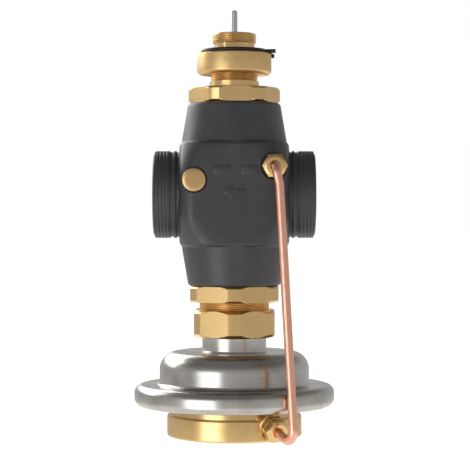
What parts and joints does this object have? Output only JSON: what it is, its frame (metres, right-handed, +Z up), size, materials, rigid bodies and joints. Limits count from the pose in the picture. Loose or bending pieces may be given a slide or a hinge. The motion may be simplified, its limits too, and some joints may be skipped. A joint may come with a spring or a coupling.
{
  "type": "pressure independent control valve",
  "caption": "Two-port control valve with a setting collar and stem on top and a diaphragm pressure regulator below, linked by a copper tube.",
  "frame": {"origin": "centre of the underside of the brass base of the diaphragm unit", "axes": "+Z up along the stem, +X towards the port beside the tube's upper fitting, -Y towards the viewer of the front, where both tapped bosses are"},
  "size_m": [0.1368, 0.1368, 0.2906],
  "materials": {
    "coated_iron": "dark grey coating, satin, over a cast surface",
    "brass": "bare, turned and milled",
    "casing_steel": "pressed stainless sheet, satin",
    "machined_steel": "ground bright",
    "spring_steel": "drawn wire",
    "copper": "drawn copper tube, bare",
    "black_wire": "blackened spring wire, satin",
    "rubber": "matt black",
    "fibre": "pressed fibre",
    "pale_plastic": "smooth"
  },
  "bodies": {
    "housing": {"valve_body": "coated_iron", "control_seat": "machined_steel", "regulator_seat": "machined_steel", "bonnet": "brass", "bonnet_o_ring": "rubber", "gland_bush": "brass", "gland_o_rings": "rubber", "return_spring": "spring_steel", "test_plug": "brass", "test_plug_washer": "fibre", "upper_fitting_body": "brass", "upper_ferrule": "brass", "upper_fitting_nut": "brass", "impulse_tube": "copper", "lower_fitting_body": "brass", "lower_ferrule": "brass", "lower_fitting_nut": "brass", "lower_insert": "brass", "insert_o_ring": "rubber", "guide_bush": "brass", "guide_o_rings": "rubber", "union_nut": "brass", "neck_gasket": "rubber", "casing_neck": "casing_steel", "upper_casing": "casing_steel", "lower_casing": "casing_steel", "base_cover": "brass", "base_o_ring": "rubber", "diaphragm": "rubber", "regulator_spring": "spring_steel"},
    "control": {"control_stem": "machined_steel", "control_cone": "brass", "control_cone_seal": "rubber", "piston_ring": "pale_plastic", "control_cone_nut": "machined_steel", "spring_washer": "machined_steel", "stem_clip": "machined_steel"},
    "spigot": {"actuator_spigot": "brass"},
    "collar": {"setting_collar": "brass", "snap_ring": "black_wire"},
    "regulator": {"regulator_stem": "machined_steel", "regulator_cone": "brass", "regulator_cone_seal": "rubber", "regulator_cone_nut": "machined_steel", "upper_plate": "machined_steel", "lower_plate": "machined_steel", "plate_nut": "machined_steel"}
  },
  "joints": [
    {"name": "control_stroke", "type": "slide", "parent": "housing", "child": "control", "axis": [0, 0, -1], "range_m": [0, 0.008], "stiffness_N_per_m": 4000, "springref_m": -0.008, "deforming": ["return_spring"]},
    {"name": "regulator_stroke", "type": "slide", "parent": "housing", "child": "regulator", "axis": [0, 0, 1], "range_m": [0, 0.006], "stiffness_N_per_m": 6000, "springref_m": -0.008, "deforming": ["regulator_spring", "diaphragm"]},
    {"name": "spigot_feed", "type": "slide", "parent": "housing", "child": "spigot", "axis": [0, 0, 1], "range_m": [-0.0038, 0.0023]},
    {"name": "collar_turn", "type": "hinge", "parent": "spigot", "child": "collar", "pos_m": [0, 0, 0.2538], "axis": [0, 0, 1], "range_deg": [-900, 540]}
  ],
  "couplings": [
    {"joint": "spigot_feed", "follows": "collar_turn", "m_per_rad": 0.00023873}
  ]
}
